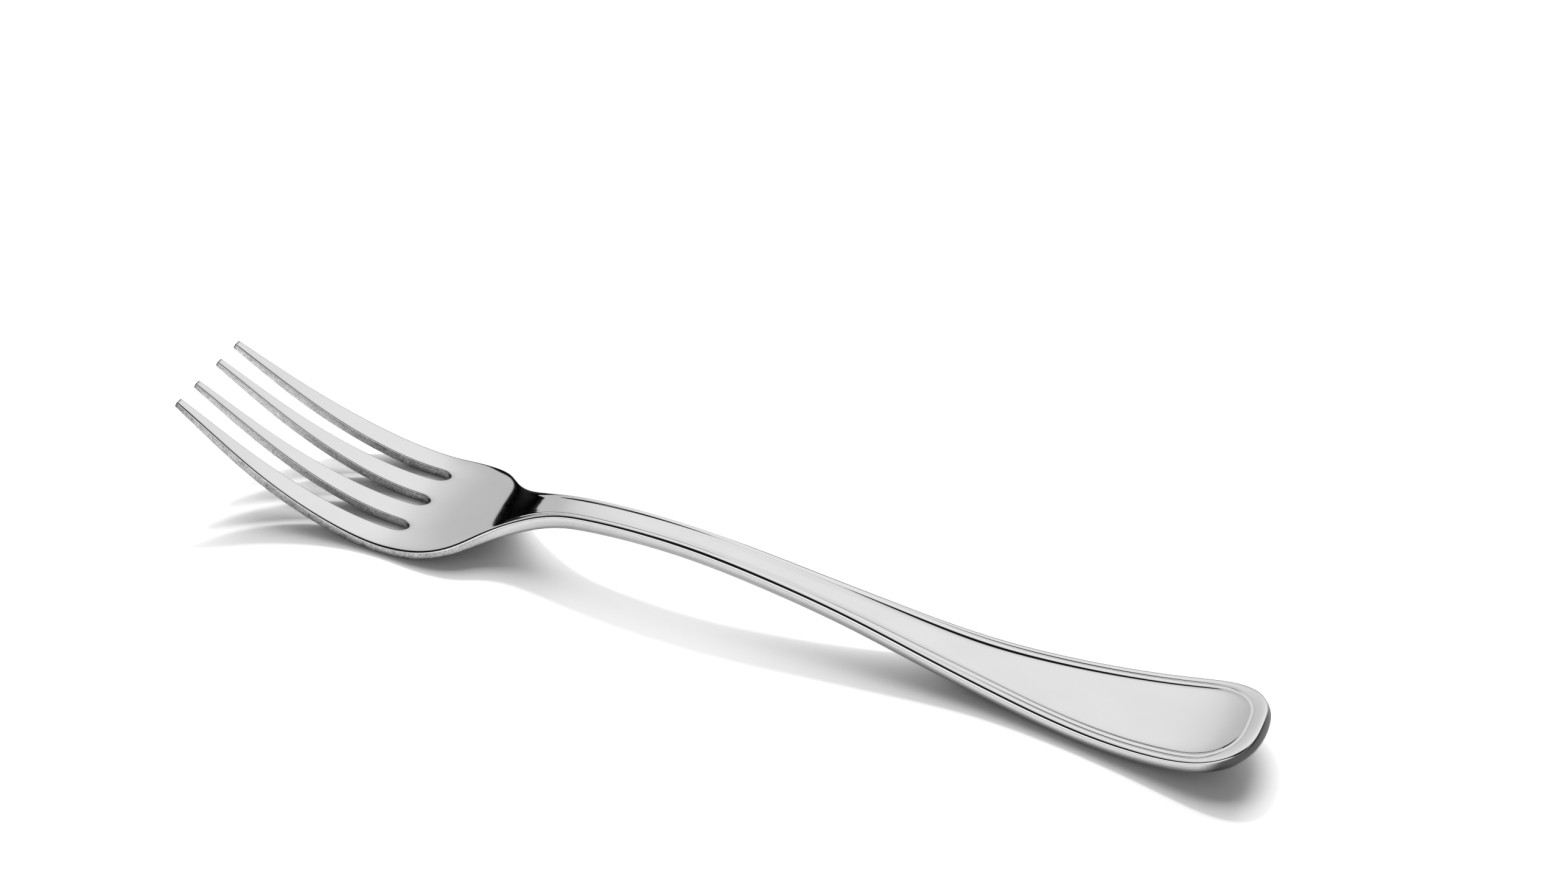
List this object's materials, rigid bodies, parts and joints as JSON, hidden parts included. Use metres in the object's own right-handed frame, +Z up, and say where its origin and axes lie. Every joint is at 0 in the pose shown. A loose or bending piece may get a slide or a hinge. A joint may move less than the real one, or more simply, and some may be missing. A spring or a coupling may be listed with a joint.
{
  "type": "dinner fork",
  "caption": "Stainless steel table fork with slender tapered tines, a narrow arched stem and a broad spoon-shaped handle end with a traditional thread border.",
  "frame": {"origin": "on the table, under the middle of the fork's length and width, with the fork lying on its back", "axes": "+X along the fork from the tips of the tines to the handle end, +Y across it, +Z up, the way the tips rise"},
  "size_m": [0.2006, 0.027, 0.0188],
  "materials": {
    "stainless_steel": "mirror-polished stainless steel, with the stamped side walls and the walls of the slots left satin"
  },
  "bodies": {
    "root": {"fork": "stainless_steel"}
  },
  "joints": []
}
